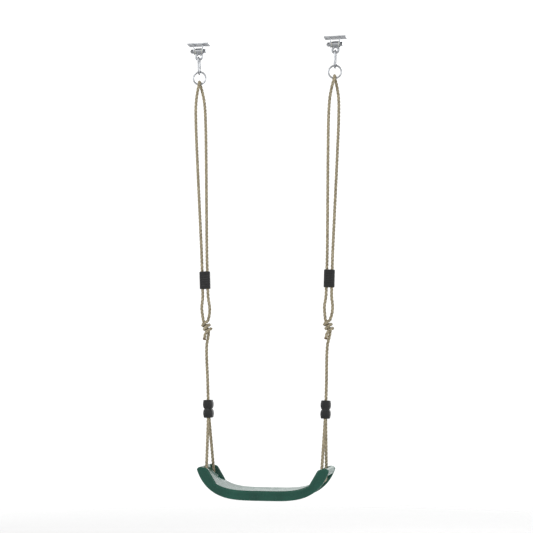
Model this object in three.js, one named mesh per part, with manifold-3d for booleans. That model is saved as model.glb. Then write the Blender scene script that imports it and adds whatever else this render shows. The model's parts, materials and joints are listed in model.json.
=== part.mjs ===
// Belt swing seat: a moulded belt seat slung on two adjustable ropes, with the
// rings, snap hooks and pivoting beam hangers that carry it.
// Millimetres. +Z up, +X along the beam, -Y to the front. The origin is midway
// between the two hangers, on the plane of the beam's underside, so that
// everything hangs below z = 0.
import * as THREE from "three";
import { mergeVertices } from "three/addons/utils/BufferGeometryUtils.js";
import Module from "manifold-3d";

const wasm = await Module();
wasm.setup();

// ---- driving dimensions -------------------------------------------------
const GAP = 0.4;                  // between pieces that touch on the real object

const hangerSpacing = 484;        // centre to centre along the beam
const ropeSpacingAtSeat = 392;
const seatBottom = -1575;         // lowest point of the seat's middle

const plate = { length: 76, width: 38, thickness: 4, screwSpacing: 56, screwHole: 9 };
const lug = { inner: 13.5, thickness: 4, radius: 12 };
const pivotZ = -25;               // axis of the hanger bolt
const bolt = { diameter: 8, headAcross: 13, headHeight: 5.3, nutHeight: 8, tip: 2.5 };
const boltWasher = { outer: 16, thickness: 1.6 };
const bush = { outer: 12, flange: 21, flangeThickness: 2.2 };
const eye = { barrel: 20, drop: 20, radius: 10.5, wire: 8 };

const hook = { rod: 7, width: 21, height: 59, gateRod: 6.4, rivetUp: 13, noseDown: 13.4 };
const rivet = { diameter: 2.8, head: 4.6, headHeight: 0.9 };
const tang = { thickness: 3, slot: 4 };
const ring = { radius: 22, wire: 6 };

const rope = { diameter: 11, sides: 8 };
const adjuster = { width: 37, depth: 19, height: 61, top: 754, strandHalf: 9.3, hole: 12.2 };
const ferrule = {
  width: 33, waist: 23, depth: 36, height: 61, top: 1196, strandHalf: 6.2, slotSpare: 2.4,
};

const seat = {
  depth: 150,                     // front to back
  topHalf: 214,                   // half length of the top face, measured level
  lip: 33,                        // height of the front and back edges in the middle
  tipLip: 14,                     // the same at the tips
  rise: 78,                       // tips above the middle, on the top face
  skin: 7,
  skirt: 9,                       // wall thickness of the front and back edges
  endWall: 12,
  power: 4.2,                     // how suddenly the ends turn up
  holeOut: 50,                    // rope holes in front of and behind the middle
  holeLength: 21,                 // rope holes are oval, long along the belt
  holeWidth: 15.4,
};
const cheek = { thickness: 12, baseX: 158, shoulderX: 187, shoulderZ: 104, tipX: 215, tipZ: 111 };

// ---- worked-out places --------------------------------------------------
const hangerX = hangerSpacing / 2;
const seatRopeX = ropeSpacingAtSeat / 2;
const eyeCentreZ = pivotZ - eye.drop;
// the hook's top rod lies on the inside of the eye; the lines pivot there
const hookTopZ = eyeCentreZ - eye.radius + (eye.wire + hook.rod) / 2 + GAP;
const ringTopWire = -hook.height + (hook.rod + ring.wire) / 2 + GAP;
const ringCentre = ringTopWire - ring.radius;
const ringBottomWire = ringCentre - ring.radius;
// the rope's run under the seat touches the underside of the sloping skin
const holeSlope = Math.atan(seatSlope(seatRopeX));
const runBelowTop = (seat.skin + rope.diameter / 2 + 3 * GAP) / Math.cos(holeSlope);
const runZ = seatBottom + seatTop(seatRopeX) - runBelowTop;
const lineLength = Math.hypot(hangerX - seatRopeX, runZ - hookTopZ);
const lineLean = Math.asin((hangerX - seatRopeX) / lineLength);

function seatTop(x) {
  return seat.lip + seat.rise * Math.pow(Math.abs(x) / seat.topHalf, seat.power);
}

function seatSlope(x) {
  const steepest = (seat.power * seat.rise) / seat.topHalf;
  return Math.sign(x) * steepest * Math.pow(Math.abs(x) / seat.topHalf, seat.power - 1);
}

// ---- materials ----------------------------------------------------------
const material = (color, roughness, metalness) =>
  new THREE.MeshStandardMaterial({ color, roughness, metalness });
const greenPlastic = material(0x1f5a49, 0.35, 0);
const ropeFibre = material(0xa79d8d, 0.9, 0);
const blackPlastic = material(0x17181a, 0.45, 0);
const zincSteel = material(0xb4b7ba, 0.35, 0.9);
const nylon = material(0xe6e4dc, 0.5, 0);

// ---- solid helpers ------------------------------------------------------
function solid(geometry) {
  const bare = geometry.clone();
  bare.deleteAttribute("normal");
  bare.deleteAttribute("uv");
  const merged = mergeVertices(bare, 1e-4);
  const mesh = new wasm.Mesh({
    numProp: 3,
    vertProperties: Float32Array.from(merged.attributes.position.array),
    triVerts: Uint32Array.from(merged.index.array),
  });
  return new wasm.Manifold(mesh);
}

function geometryOf(body) {
  const mesh = body.getMesh();
  const geometry = new THREE.BufferGeometry();
  geometry.setAttribute("position", new THREE.BufferAttribute(mesh.vertProperties, 3));
  geometry.setIndex(new THREE.BufferAttribute(mesh.triVerts, 1));
  geometry.computeVertexNormals();
  return geometry;
}

const join = (first, ...rest) =>
  geometryOf(rest.reduce((body, piece) => body.add(solid(piece)), solid(first)));

const cut = (first, ...tools) =>
  geometryOf(tools.reduce((body, tool) => body.subtract(solid(tool)), solid(first)));

function block(sizeX, sizeY, sizeZ, x = 0, y = 0, z = 0) {
  return new THREE.BoxGeometry(sizeX, sizeY, sizeZ).translate(x, y, z);
}

function rodZ(diameter, length, sides = 24) {
  return new THREE.CylinderGeometry(diameter / 2, diameter / 2, length, sides).rotateX(Math.PI / 2);
}

const rodX = (diameter, length, sides = 24) => rodZ(diameter, length, sides).rotateY(Math.PI / 2);

// A profile of [radius, x] pairs turned about the X axis; it closes on itself.
function turnedX(profile, sides = 24) {
  const points = [...profile, profile[0]].map(([radius, x]) => new THREE.Vector2(radius, x));
  return new THREE.LatheGeometry(points, sides).rotateZ(-Math.PI / 2);
}

// An outline of [a, b] pairs as a slab of the given thickness, centred on y = 0.
function slabXZ(outline, thickness) {
  const shape = new THREE.Shape(outline.map(([x, z]) => new THREE.Vector2(x, z)));
  const slab = new THREE.ExtrudeGeometry(shape, { depth: thickness, bevelEnabled: false });
  return slab.rotateX(Math.PI / 2).translate(0, thickness / 2, 0);
}

// A curve whose stations follow its points, so that short bends get as many
// stations as long straight runs.
class Route extends THREE.CatmullRomCurve3 {
  constructor(points) {
    super(points.map((point) => new THREE.Vector3(...point)), false, "centripetal");
  }
  getPointAt(u, target) {
    return this.getPoint(u, target);
  }
  getTangentAt(u, target) {
    return this.getTangent(u, target);
  }
}

function tube(points, diameter, sides, stepsPerSpan) {
  const section = new THREE.Shape();
  for (let side = 0; side < sides; side += 1) {
    const angle = (2 * Math.PI * (side + 0.5)) / sides;
    const corner = [(diameter / 2) * Math.cos(angle), (diameter / 2) * Math.sin(angle)];
    if (side === 0) section.moveTo(...corner);
    else section.lineTo(...corner);
  }
  const steps = (points.length - 1) * stepsPerSpan;
  return new THREE.ExtrudeGeometry(section, {
    steps, extrudePath: new Route(points), bevelEnabled: false,
  });
}

// ---- beam hanger --------------------------------------------------------
function hangerBracket() {
  const base = block(plate.length, plate.width, plate.thickness, 0, 0, -plate.thickness / 2);
  const pieces = [-1, 1].map((side) => {
    const outline = [[-lug.radius, -1], [-lug.radius, pivotZ]];
    for (let step = 1; step < 12; step += 1) {
      const angle = Math.PI + (Math.PI * step) / 12;
      outline.push([lug.radius * Math.cos(angle), pivotZ + lug.radius * Math.sin(angle)]);
    }
    outline.push([lug.radius, pivotZ], [lug.radius, -1]);
    const middle = side * (lug.inner + lug.thickness / 2);
    return slabXZ(outline, lug.thickness).rotateZ(Math.PI / 2).translate(middle, 0, 0);
  });
  const boltHole = rodX(bolt.diameter + 2 * GAP, 60).translate(0, 0, pivotZ);
  const screwHoles = [-1, 1].map((side) =>
    rodZ(plate.screwHole, 20).translate((side * plate.screwSpacing) / 2, 0, 0));
  return cut(join(base, ...pieces), boltHole, ...screwHoles);
}

const lugOuter = lug.inner + lug.thickness;
const washerOuter = lugOuter + GAP + boltWasher.thickness;

function hangerBolt() {
  const tipX = -(washerOuter + 2 * GAP + bolt.nutHeight + bolt.tip);
  const headX = washerOuter + GAP;
  const shank = rodX(bolt.diameter, headX + 1 - tipX).translate((headX + 1 + tipX) / 2, 0, 0);
  const headDiameter = bolt.headAcross / Math.cos(Math.PI / 6);
  const head = rodX(headDiameter, bolt.headHeight, 6).translate(headX + bolt.headHeight / 2, 0, 0);
  return join(head, shank);
}

function hangerNut() {
  const blank = rodX(bolt.headAcross / Math.cos(Math.PI / 6), bolt.nutHeight, 6);
  const nut = cut(blank, rodX(bolt.diameter + 2 * GAP, 20));
  return nut.translate(-(washerOuter + GAP + bolt.nutHeight / 2), 0, 0);
}

// The washer and the bush are drawn on the +X side and turned round for the other.
function hangerWasher(side) {
  const inner = (bolt.diameter + 2 * GAP) / 2;
  const outer = boltWasher.outer / 2;
  const near = lugOuter + GAP;
  const far = near + boltWasher.thickness;
  const profile = [[inner, near], [outer, near], [outer, far], [inner, far]];
  return turnedX(profile).rotateZ(side > 0 ? 0 : Math.PI);
}

// One of the two flanged bushes that meet in the middle of the eye's barrel.
function hangerBush(side) {
  const bore = (bolt.diameter + 2 * GAP) / 2;
  const shoulder = lug.inner - GAP - bush.flangeThickness;
  const profile = [
    [bore, GAP / 2], [bush.outer / 2, GAP / 2], [bush.outer / 2, shoulder],
    [bush.flange / 2, shoulder], [bush.flange / 2, lug.inner - GAP], [bore, lug.inner - GAP],
  ];
  return turnedX(profile).rotateZ(side > 0 ? 0 : Math.PI);
}

function hangerEye() {
  const barrelLength = 2 * (lug.inner - 2 * GAP - bush.flangeThickness);
  const barrel = rodX(eye.barrel, barrelLength, 28);
  const loop = new THREE.TorusGeometry(eye.radius, eye.wire / 2, 8, 24)
    .rotateX(Math.PI / 2).translate(0, 0, -eye.drop);
  return cut(join(barrel, loop), rodX(bush.outer + 2 * GAP, 40, 28));
}

// ---- snap hook, in the line's own frame: z = 0 at the middle of its top rod
const hookHalf = hook.width / 2;
const rivetZ = -hook.height + hook.rivetUp;
const gateTopZ = -hook.noseDown - GAP;

function arcYZ(centreZ, radius, fromAngle, toAngle, count) {
  return Array.from({ length: count + 1 }, (_, index) => {
    const angle = fromAngle + ((toAngle - fromAngle) * index) / count;
    return [0, radius * Math.cos(angle), centreZ + radius * Math.sin(angle)];
  });
}

function hookBody() {
  const endAngle = -0.15;
  const lower = arcYZ(-hook.height + hookHalf, hookHalf, endAngle, -Math.PI, 7);
  const upper = arcYZ(-hookHalf, hookHalf, Math.PI, 0, 7);
  const nose = [[0, hookHalf, -hook.noseDown]];
  const rod = tube([...lower, ...upper, ...nose], hook.rod, 10, 1);
  const tangTop = rivetZ + hook.gateRod / 2;
  const tangBottom = -hook.height + hookHalf - 4;
  const tab = block(tang.thickness, hook.gateRod - 1, tangTop - tangBottom,
    0, hookHalf, (tangTop + tangBottom) / 2);
  return cut(join(rod, tab), rodX(rivet.diameter + 2 * GAP, 20, 12).translate(0, hookHalf, rivetZ));
}

// The gate closes the open side of the hook and turns inwards on its rivet.
function hookGate() {
  const height = gateTopZ - rivetZ;
  const rod = rodZ(hook.gateRod, height, 14).translate(0, 0, height / 2);
  const foot = rodX(hook.gateRod, hook.gateRod - 0.6, 14);
  const slot = block(tang.slot, 20, 24, 0, 0, 0);
  const hole = rodX(rivet.diameter + 2 * GAP, 20, 12);
  return cut(join(rod, foot), slot, hole).translate(0, hookHalf, rivetZ);
}

function gateRivet() {
  const inner = hook.gateRod / 2 + GAP;
  const outer = inner + rivet.headHeight;
  const shank = rivet.diameter / 2;
  const head = rivet.head / 2;
  const profile = [
    [0, -outer], [head, -outer], [head, -inner], [shank, -inner],
    [shank, inner], [head, inner], [head, outer], [0, outer],
  ].map(([radius, x]) => new THREE.Vector2(radius, x));
  return new THREE.LatheGeometry(profile, 14).rotateZ(-Math.PI / 2).translate(0, hookHalf, rivetZ);
}

// The gate's return spring fills the top of its slot; its coils are close-wound.
function gateSpring() {
  const bottom = rivetZ + hook.gateRod / 2 + 1.5;
  const top = rivetZ + 12 - GAP;
  return rodZ(3.2, top - bottom, 12).translate(0, hookHalf, (top + bottom) / 2);
}

function ropeRing() {
  return new THREE.TorusGeometry(ring.radius, ring.wire / 2, 8, 32)
    .rotateX(Math.PI / 2).translate(0, 0, ringCentre);
}

// ---- rope and its fittings, in the line's own frame ----------------------
// Half of the fork, from the ferrule down through the seat's front hole and
// under the seat to the middle. The back half mirrors it.
const frontLeg = [
  [0, -6.2, -1242],
  [0, -6.2, -1254],
  [0, -12, -1282],
  [0, -29, -1350],
  [0, -45, -1414],
  [0, -seat.holeOut + 1, -lineLength + 30],
  [0, -seat.holeOut, -lineLength + 14],
  [0, -seat.holeOut + 3, -lineLength + 4.5],
  [0, -seat.holeOut + 12, -lineLength],
];

// The outer strand from the hitch up to the ring, then half of the bight.
const outerStrand = [
  [-12, 0, -905],
  [-14, 0, -880],
  [-9.8, 0, -846],
  [-9.3, 0, -828],
  [-9.3, 0, -765],
  [-9.3, 0, -706],
  [-12, 0, -560],
  [-16, 0, -360],
  [-17.5, 0, -230],
  [-15, -1.5, -165],
  [-7, -6.5, -122],
  [0, -8.9, ringBottomWire],
  [0, -7.7, ringBottomWire + 4.45],
  [0, -4.45, ringBottomWire + 7.7],
];

const hitchKink = [
  [0, 0, -1140],
  [0, 0, -1010],
  [6, 0, -980],
  [8, 0, -962],
  [0, 0, -946],
  [-8, 0, -930],
];

const mirrorY = (points) => points.map(([x, y, z]) => [x, -y, z]).reverse();
const halfTurn = (points) => points.map(([x, y, z]) => [-x, -y, z]).reverse();

function ropeRoute() {
  return [
    ...mirrorY(frontLeg).reverse(),
    ...frontLeg.slice().reverse(),
    [0, -0.8, -1229],
    [0, 0, -1215],
    ...hitchKink,
    ...outerStrand,
    [0, 0, ringBottomWire + 8.9],
    ...halfTurn(outerStrand),
    [8, 0, -922],
  ];
}

// The tail is hitched round the standing part; the hitch is one lump.
function mainRope() {
  const hitch = new THREE.SphereGeometry(1, 14, 10).rotateX(Math.PI / 2)
    .scale(16, 11.5, 23).translate(0, 0, -943);
  return join(tube(ropeRoute(), rope.diameter, rope.sides, 1), hitch);
}

function roundedOutline(halfX, halfY, corner) {
  const shape = new THREE.Shape();
  const arc = (x, y, from) => shape.absarc(x, y, corner, from, from + Math.PI / 2, false);
  arc(halfX - corner, halfY - corner, 0);
  arc(-halfX + corner, halfY - corner, Math.PI / 2);
  arc(-halfX + corner, -halfY + corner, Math.PI);
  arc(halfX - corner, -halfY + corner, 1.5 * Math.PI);
  return shape;
}

function lengthAdjuster() {
  const outline = roundedOutline(adjuster.width / 2, adjuster.depth / 2, 6);
  const body = new THREE.ExtrudeGeometry(outline, {
    depth: adjuster.height, bevelEnabled: false, curveSegments: 4,
  });
  const holes = [-1, 1].map((side) =>
    rodZ(adjuster.hole, 200, 20).translate(side * adjuster.strandHalf, 0, 0));
  return cut(body, ...holes).translate(0, 0, -adjuster.top - adjuster.height);
}

// Two lobes and a waist; one bore above for the standing part, and one slot
// below that also takes the rope's end.
function forkFerrule() {
  const half = ferrule.height / 2;
  const outline = [];
  for (let step = 0; step <= 20; step += 1) {
    const height = -half + (ferrule.height * step) / 20;
    const lobe = Math.abs(Math.sin((Math.PI * height) / half));
    const reach = ferrule.waist + (ferrule.width - ferrule.waist) * Math.sqrt(lobe);
    outline.push([reach / 2, height]);
  }
  const left = outline.map(([x, z]) => [-x, z]).reverse();
  const body = slabXZ([...outline, ...left], ferrule.depth);
  const bore = rodZ(rope.diameter + 4 * GAP, half + 8, 16).translate(0, 0, half / 2 + 4);
  const slotReach = ferrule.strandHalf + rope.diameter / 2 + ferrule.slotSpare;
  const slotOutline = roundedOutline(rope.diameter / 2 + GAP, slotReach, 5.8);
  const slot = new THREE.ExtrudeGeometry(slotOutline, {
    depth: half + 8, bevelEnabled: false, curveSegments: 4,
  }).translate(0, 0, -half - 6);
  return cut(body, bore, slot).translate(0, 0, -ferrule.top - half);
}

// ---- seat ---------------------------------------------------------------
// Section across the belt as [y, height along the normal], front to back over
// the top and back to front below. The ceiling is the underside of the skin.
function seatSection(x) {
  const along = Math.abs(x) / seat.topHalf;
  const lip = seat.lip + (seat.tipLip - seat.lip) * Math.pow(along, 6);
  const nearTip = seat.topHalf - Math.abs(x) < seat.endWall;
  const ceiling = nearTip ? lip - 1 : seat.skin;
  const half = seat.depth / 2;
  const top = [[half - 20, 0], [half - 6, 0], [half - 1.8, -1.8], [half, -6]];
  const bottom = [[half, -lip + 6], [half - 1.5, -lip + 1.5], [half - 5, -lip]];
  const inside = [[half - seat.skirt, -lip], [half - seat.skirt - 1.5, -ceiling]];
  const back = [...top, ...bottom, ...inside];
  const front = back.map(([y, n]) => [-y, n]).reverse();
  return [...front, ...back];
}

function seatBeltLoft() {
  const stations = [];
  const count = 28;
  for (let index = 0; index <= count; index += 1) {
    const even = -1 + (2 * index) / count;
    stations.push(seat.topHalf * Math.sin((even * Math.PI) / 2) * 0.35 + seat.topHalf * even * 0.65);
  }
  const wallStart = seat.topHalf - seat.endWall;
  stations.push(-wallStart, -wallStart - 0.5, wallStart, wallStart + 0.5);
  stations.sort((one, other) => one - other);
  const rings = stations.map((x) => {
    const slope = Math.atan(seatSlope(x));
    return seatSection(x).map(([y, normal]) => new THREE.Vector3(
      x - normal * Math.sin(slope), y, seatTop(x) + normal * Math.cos(slope)));
  });
  return loft(rings, seatSection(stations[0]));
}

// Closed skin over rings of points, with the two end sections capped.
function loft(rings, endSection) {
  const size = rings[0].length;
  const positions = rings.flat().flatMap((point) => [point.x, point.y, point.z]);
  const faces = [];
  for (let row = 0; row < rings.length - 1; row += 1) {
    for (let column = 0; column < size; column += 1) {
      const next = (column + 1) % size;
      const [a, b] = [row * size + column, row * size + next];
      const [c, d] = [a + size, b + size];
      faces.push(a, d, b, a, c, d);
    }
  }
  const outline = endSection.map(([y, normal]) => new THREE.Vector2(y, normal));
  const last = (rings.length - 1) * size;
  for (const [a, b, c] of THREE.ShapeUtils.triangulateShape(outline, [])) {
    faces.push(a, c, b, last + a, last + b, last + c);
  }
  const geometry = new THREE.BufferGeometry();
  geometry.setAttribute("position", new THREE.Float32BufferAttribute(positions, 3));
  geometry.setIndex(faces);
  return geometry;
}

// Raised cheeks stand along the front and back edges at both ends.
function seatCheeks() {
  const middle = (seat.depth - cheek.thickness) / 2;
  const pieces = [];
  for (const side of [-1, 1]) {
    const outline = [
      [cheek.baseX, seatTop(cheek.baseX) - 6],
      [cheek.baseX, seatTop(cheek.baseX)],
      [cheek.shoulderX - 3, cheek.shoulderZ - 3],
      [cheek.shoulderX + 2, cheek.shoulderZ],
      [cheek.tipX, cheek.tipZ],
      [cheek.tipX + 4, cheek.tipZ - 6],
      [cheek.shoulderX, seatTop(cheek.shoulderX) - 6],
    ].map(([x, z]) => [side * x, z]);
    for (const edge of [-1, 1]) {
      pieces.push(slabXZ(outline, cheek.thickness).translate(0, edge * middle, 0));
    }
  }
  return pieces;
}

function seatBelt() {
  const oval = roundedOutline(seat.holeLength / 2, seat.holeWidth / 2, seat.holeWidth / 2 - 0.1);
  const depth = 60;
  const holes = [];
  for (const side of [-1, 1]) {
    for (const edge of [-1, 1]) {
      const hole = new THREE.ExtrudeGeometry(oval, { depth, bevelEnabled: false, curveSegments: 5 });
      holes.push(hole.translate(
        side * seatRopeX, edge * seat.holeOut, seatTop(seatRopeX) - depth / 2));
    }
  }
  return cut(join(seatBeltLoft(), ...seatCheeks()), ...holes);
}

// ---- assembly -----------------------------------------------------------
const swing = new THREE.Group();

function place(parent, name, geometry, look) {
  const mesh = new THREE.Mesh(geometry, look);
  mesh.name = name;
  parent.add(mesh);
}

for (const [label, side] of [["left", -1], ["right", 1]]) {
  const hanger = new THREE.Group();
  hanger.position.set(side * hangerX, 0, 0);
  place(hanger, `hanger_bracket_${label}`, hangerBracket(), zincSteel);
  const pivot = new THREE.Group();
  pivot.position.set(0, 0, pivotZ);
  place(pivot, `hanger_bolt_${label}`, hangerBolt(), zincSteel);
  place(pivot, `hanger_nut_${label}`, hangerNut(), zincSteel);
  place(pivot, `bolt_washer_head_${label}`, hangerWasher(1), zincSteel);
  place(pivot, `bolt_washer_nut_${label}`, hangerWasher(-1), zincSteel);
  place(pivot, `hanger_bush_a_${label}`, hangerBush(1), nylon);
  place(pivot, `hanger_bush_b_${label}`, hangerBush(-1), nylon);
  place(pivot, `hanger_eye_${label}`, hangerEye(), zincSteel);
  hanger.add(pivot);
  swing.add(hanger);

  const line = new THREE.Group();
  line.position.set(side * hangerX, 0, hookTopZ);
  line.rotation.y = side * lineLean;
  place(line, `snap_hook_${label}`, hookBody(), zincSteel);
  place(line, `hook_gate_${label}`, hookGate(), zincSteel);
  place(line, `gate_rivet_${label}`, gateRivet(), zincSteel);
  place(line, `gate_spring_${label}`, gateSpring(), zincSteel);
  place(line, `rope_ring_${label}`, ropeRing(), zincSteel);
  place(line, `main_rope_${label}`, mainRope(), ropeFibre);
  place(line, `length_adjuster_${label}`, lengthAdjuster(), blackPlastic);
  place(line, `fork_ferrule_${label}`, forkFerrule(), blackPlastic);
  swing.add(line);
}

const seatGroup = new THREE.Group();
seatGroup.position.set(0, 0, seatBottom);
place(seatGroup, "seat_belt", seatBelt(), greenPlastic);
swing.add(seatGroup);

export default swing;
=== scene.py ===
"""The looks of a belt swing seat: a moulded green belt on two laid ropes, with its
black plastic fittings and its zinc-plated rings, hooks and hangers.

Lengths are in millimetres unless a comment says metres, in the object's frame: +X along
the beam, -Y to the front, +Z up, origin on the beam's underside. MM turns them into
Blender's metres.
"""

import json
import math

import bmesh
import bpy
from mathutils import Matrix, Vector


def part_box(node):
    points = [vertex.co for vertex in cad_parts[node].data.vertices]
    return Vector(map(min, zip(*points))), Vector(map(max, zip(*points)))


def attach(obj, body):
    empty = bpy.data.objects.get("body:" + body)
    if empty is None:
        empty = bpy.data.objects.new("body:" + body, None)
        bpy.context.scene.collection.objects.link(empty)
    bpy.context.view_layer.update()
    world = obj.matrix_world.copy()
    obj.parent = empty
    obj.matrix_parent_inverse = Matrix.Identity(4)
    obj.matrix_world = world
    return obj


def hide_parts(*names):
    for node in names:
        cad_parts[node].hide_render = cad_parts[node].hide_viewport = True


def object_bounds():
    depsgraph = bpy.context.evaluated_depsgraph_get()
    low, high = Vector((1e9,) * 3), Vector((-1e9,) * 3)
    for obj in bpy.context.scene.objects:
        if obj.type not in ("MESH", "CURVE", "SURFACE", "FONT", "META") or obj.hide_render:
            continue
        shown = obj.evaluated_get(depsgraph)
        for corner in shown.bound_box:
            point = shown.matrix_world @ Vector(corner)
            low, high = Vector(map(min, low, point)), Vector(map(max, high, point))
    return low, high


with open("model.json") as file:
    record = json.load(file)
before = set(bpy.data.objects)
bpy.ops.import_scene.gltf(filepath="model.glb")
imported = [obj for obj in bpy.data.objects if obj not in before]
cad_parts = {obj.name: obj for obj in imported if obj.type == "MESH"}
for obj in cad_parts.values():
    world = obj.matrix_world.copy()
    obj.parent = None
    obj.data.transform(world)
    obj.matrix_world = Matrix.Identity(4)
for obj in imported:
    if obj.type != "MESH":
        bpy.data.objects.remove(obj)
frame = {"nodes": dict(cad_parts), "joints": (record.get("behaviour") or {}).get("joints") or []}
cad_low, cad_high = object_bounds()

MM = 0.001
SIDES = {"left": -1, "right": 1}
SUPPORT = 0.35  # how close a point stands beside a rounded corner, to keep flats flat
CORE = 0.02  # radius of the hair-thin core that closes a solid of revolution
BAR_END = 5, math.radians(84)  # steps and arc of a bar's rounded end

# ---- places taken from the frame ----
joint_at = {joint["name"]: joint for joint in frame["joints"]}
hook_top = Vector(joint_at["sway_left"]["pos_m"]) / MM
seat_turn = Vector(joint_at["seat_level"]["pos_m"]) / MM
pivot_z = joint_at["swing"]["pos_m"][2] / MM
HANGER_X = abs(hook_top.x)
SEAT_ROPE_X = abs(seat_turn.x)
LINE_LENGTH = math.hypot(HANGER_X - SEAT_ROPE_X, hook_top.z - seat_turn.z)
LINE_LEAN = math.asin((HANGER_X - SEAT_ROPE_X) / LINE_LENGTH)
SEAT_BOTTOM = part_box("seat_belt")[0].z / MM

# ---- sizes ----
ROPE = 11.0  # diameter
LAY = 38.0  # one turn of the rope's three strands
ROUTE_STEP = 2.6  # between neighbouring stations on the rope
YARN_LENGTH = 9.0  # what UV y counts along a strand
STRAND_SIDES = 12
STRAND_OFFSET, STRAND_DEPTH, STRAND_WIDTH = ROPE * 0.262, ROPE * 0.242, ROPE * 0.268
RING_RADIUS, RING_WIRE = 22.0, 6.0  # to the middle of the wire, and the wire's diameter
HOOK_ROD = 7.0  # diameter of the hook's bar
HOOK_WIDTH, HOOK_HEIGHT = 21.0, 59.0  # of the middle line of the hook's bar
RIVET_Z = -46.0  # this and the heights below are in a line's own frame
GATE_TOP = -13.8
RIVET_HOLE = 1.7
RING_CENTRE = -HOOK_HEIGHT + (HOOK_ROD + RING_WIRE) / 2 + 0.4 - RING_RADIUS
RING_BOTTOM = RING_CENTRE - RING_RADIUS
ADJUSTER = {"width": 37.0, "depth": 19.0, "height": 61.0, "top": -754.0, "strand": 9.3}
GROOVES, GROOVE_PITCH = 5, 8.0
FERRULE = {"width": 33.0, "waist": 23.0, "depth": 36.0, "height": 61.0, "top": -1196.0}
LOBE_SWELL = 7.0  # how much deeper front to back the ferrule's lobes are than its waist
MOUTH_FLARE = 1.6  # how much wider a rope bore is at its mouths

EYE_LOOP, EYE_BAR, EYE_DROP = 10.5, 4.0, 20.0  # the loop, its bar's radius, its centre's depth
HEXAGON = 13.0  # across the flats of the bolt's head and of the nut
BOLT_HEAD, BOLT_TIP, BOLT_RADIUS = 19.9, -31.0, 4.0
THREADS, THREAD_PITCH = 9, 1.25
NUT_LOW, NUT_HIGH = -27.9, -19.9
CLEARANCE_BORE = 4.4  # radius of each hole the bolt passes through

SEAT_DEPTH = 150.0
SEAT_TOP_HALF = 214.0
SEAT_LIP, SEAT_TIP_LIP = 33.0, 14.0  # height of the long edges, in the middle and at the tips
SEAT_RISE, SEAT_POWER = 78.0, 4.2  # the curve of the belt's top
SEAT_SKIN, SEAT_SKIRT, SEAT_END_WALL = 7.0, 9.0, 12.0
DISH = 1.0  # how much the belt's top is hollowed across its middle
HOLE_OUT, HOLE_LENGTH, HOLE_WIDTH = 50.0, 21.0, 15.4
RIM_HEIGHT, RIM_REACH, RIM_WIDTH = 1.7, 1.42, 0.2
CHEEK = {"base": 158.0, "shoulder": 187.0, "shoulder_z": 104.0, "tip": 215.0, "tip_z": 111.0}
CHEEK_START = CHEEK["base"] - 4
CHEEK_WALL = 12.0
CHEEK_FALL = 1.6  # slope of the cheek's edge beyond its tip
CHEEK_BLEND = 2.2  # how widely the lines of the cheek's edge blend into each other
WALL_LEAN = 3.6  # how far outwards the cheek's inner wall leans as it rises
TOP_EDGE, LOW_EDGE = 5.0, 3.5  # roundings of the outer wall
SEAM = 0.35  # depth of the parting line along the outer wall
TIP_ROUND = 4.2  # rounding of the belt's two ends
BELT_STEPS = 400
RIB_HEIGHT = 6.0
LONG_RIBS = (0.0, 32.0)
RIB_PITCH = 33.0
CROSS_RIBS = [RIB_PITCH * (step - 4.5) for step in range(10)]
RIBS_END = CROSS_RIBS[-1]
UNDER_STOPS = (58, 52, 46, 40, 36, 34, 33, 31, 30, 26, 20, 14, 8, 4, 2, 1, 0)  # across the ribs


# ---- camera and stage, in metres ----
WORLD_GREYS = ((0.0, 0.20), (0.3, 0.45), (0.42, 1.15), (0.64, 1.15), (0.82, 0.42), (1.0, 0.36))
FLOOR_Z, FLOOR_RADIUS, FLOOR_SIDES = -2.1, 9.0, 96
FLOOR_FADE = 1.2, 6.0  # where the floor starts to fade out, and where it is gone
LIGHTS = (  # name, place, aim, size, power in watts
    ("key", (-2.4, -2.4, 1.4), (0, 0, -1.0), 2.0, 60),
    ("fill", (3.0, -1.6, 0.2), (0, 0, -1.0), 2.6, 14),
    ("back", (0.6, 3.2, 0.6), (0, 0, -1.2), 2.4, 45),
)


def whole_turn(count):
    """Evenly spaced angles once round a circle."""
    return [2 * math.pi * step / count for step in range(count)]


def new_object(name, data):
    made = bpy.data.objects.new(name, data)
    bpy.context.scene.collection.objects.link(made)
    return made


def aimed(thing, place, aim):
    """Stands a camera or a light somewhere, facing the aim."""
    thing.location = place
    thing.rotation_mode = "QUATERNION"
    thing.rotation_quaternion = (Vector(aim) - thing.location).to_track_quat("-Z", "Y")


def make_camera():
    """The main view: from the front right, a little above the seat, aimed at the swing's middle."""
    azimuth, distance, height = math.radians(11.7), 4.35, -1.137
    data = bpy.data.cameras.new("camera")
    data.sensor_width = 36.0
    data.lens = 86.0
    camera = new_object("camera", data)
    place = (distance * math.sin(azimuth), -distance * math.cos(azimuth), height)
    aimed(camera, place, (0.0, 0.0, (cad_low.z + cad_high.z) / 2))
    bpy.context.scene.camera = camera


def area_light(name, place, aim, size, power):
    data = bpy.data.lights.new(name, "AREA")
    data.shape = "DISK"
    data.size = size
    data.energy = power
    aimed(new_object(name, data), place, aim)


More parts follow.
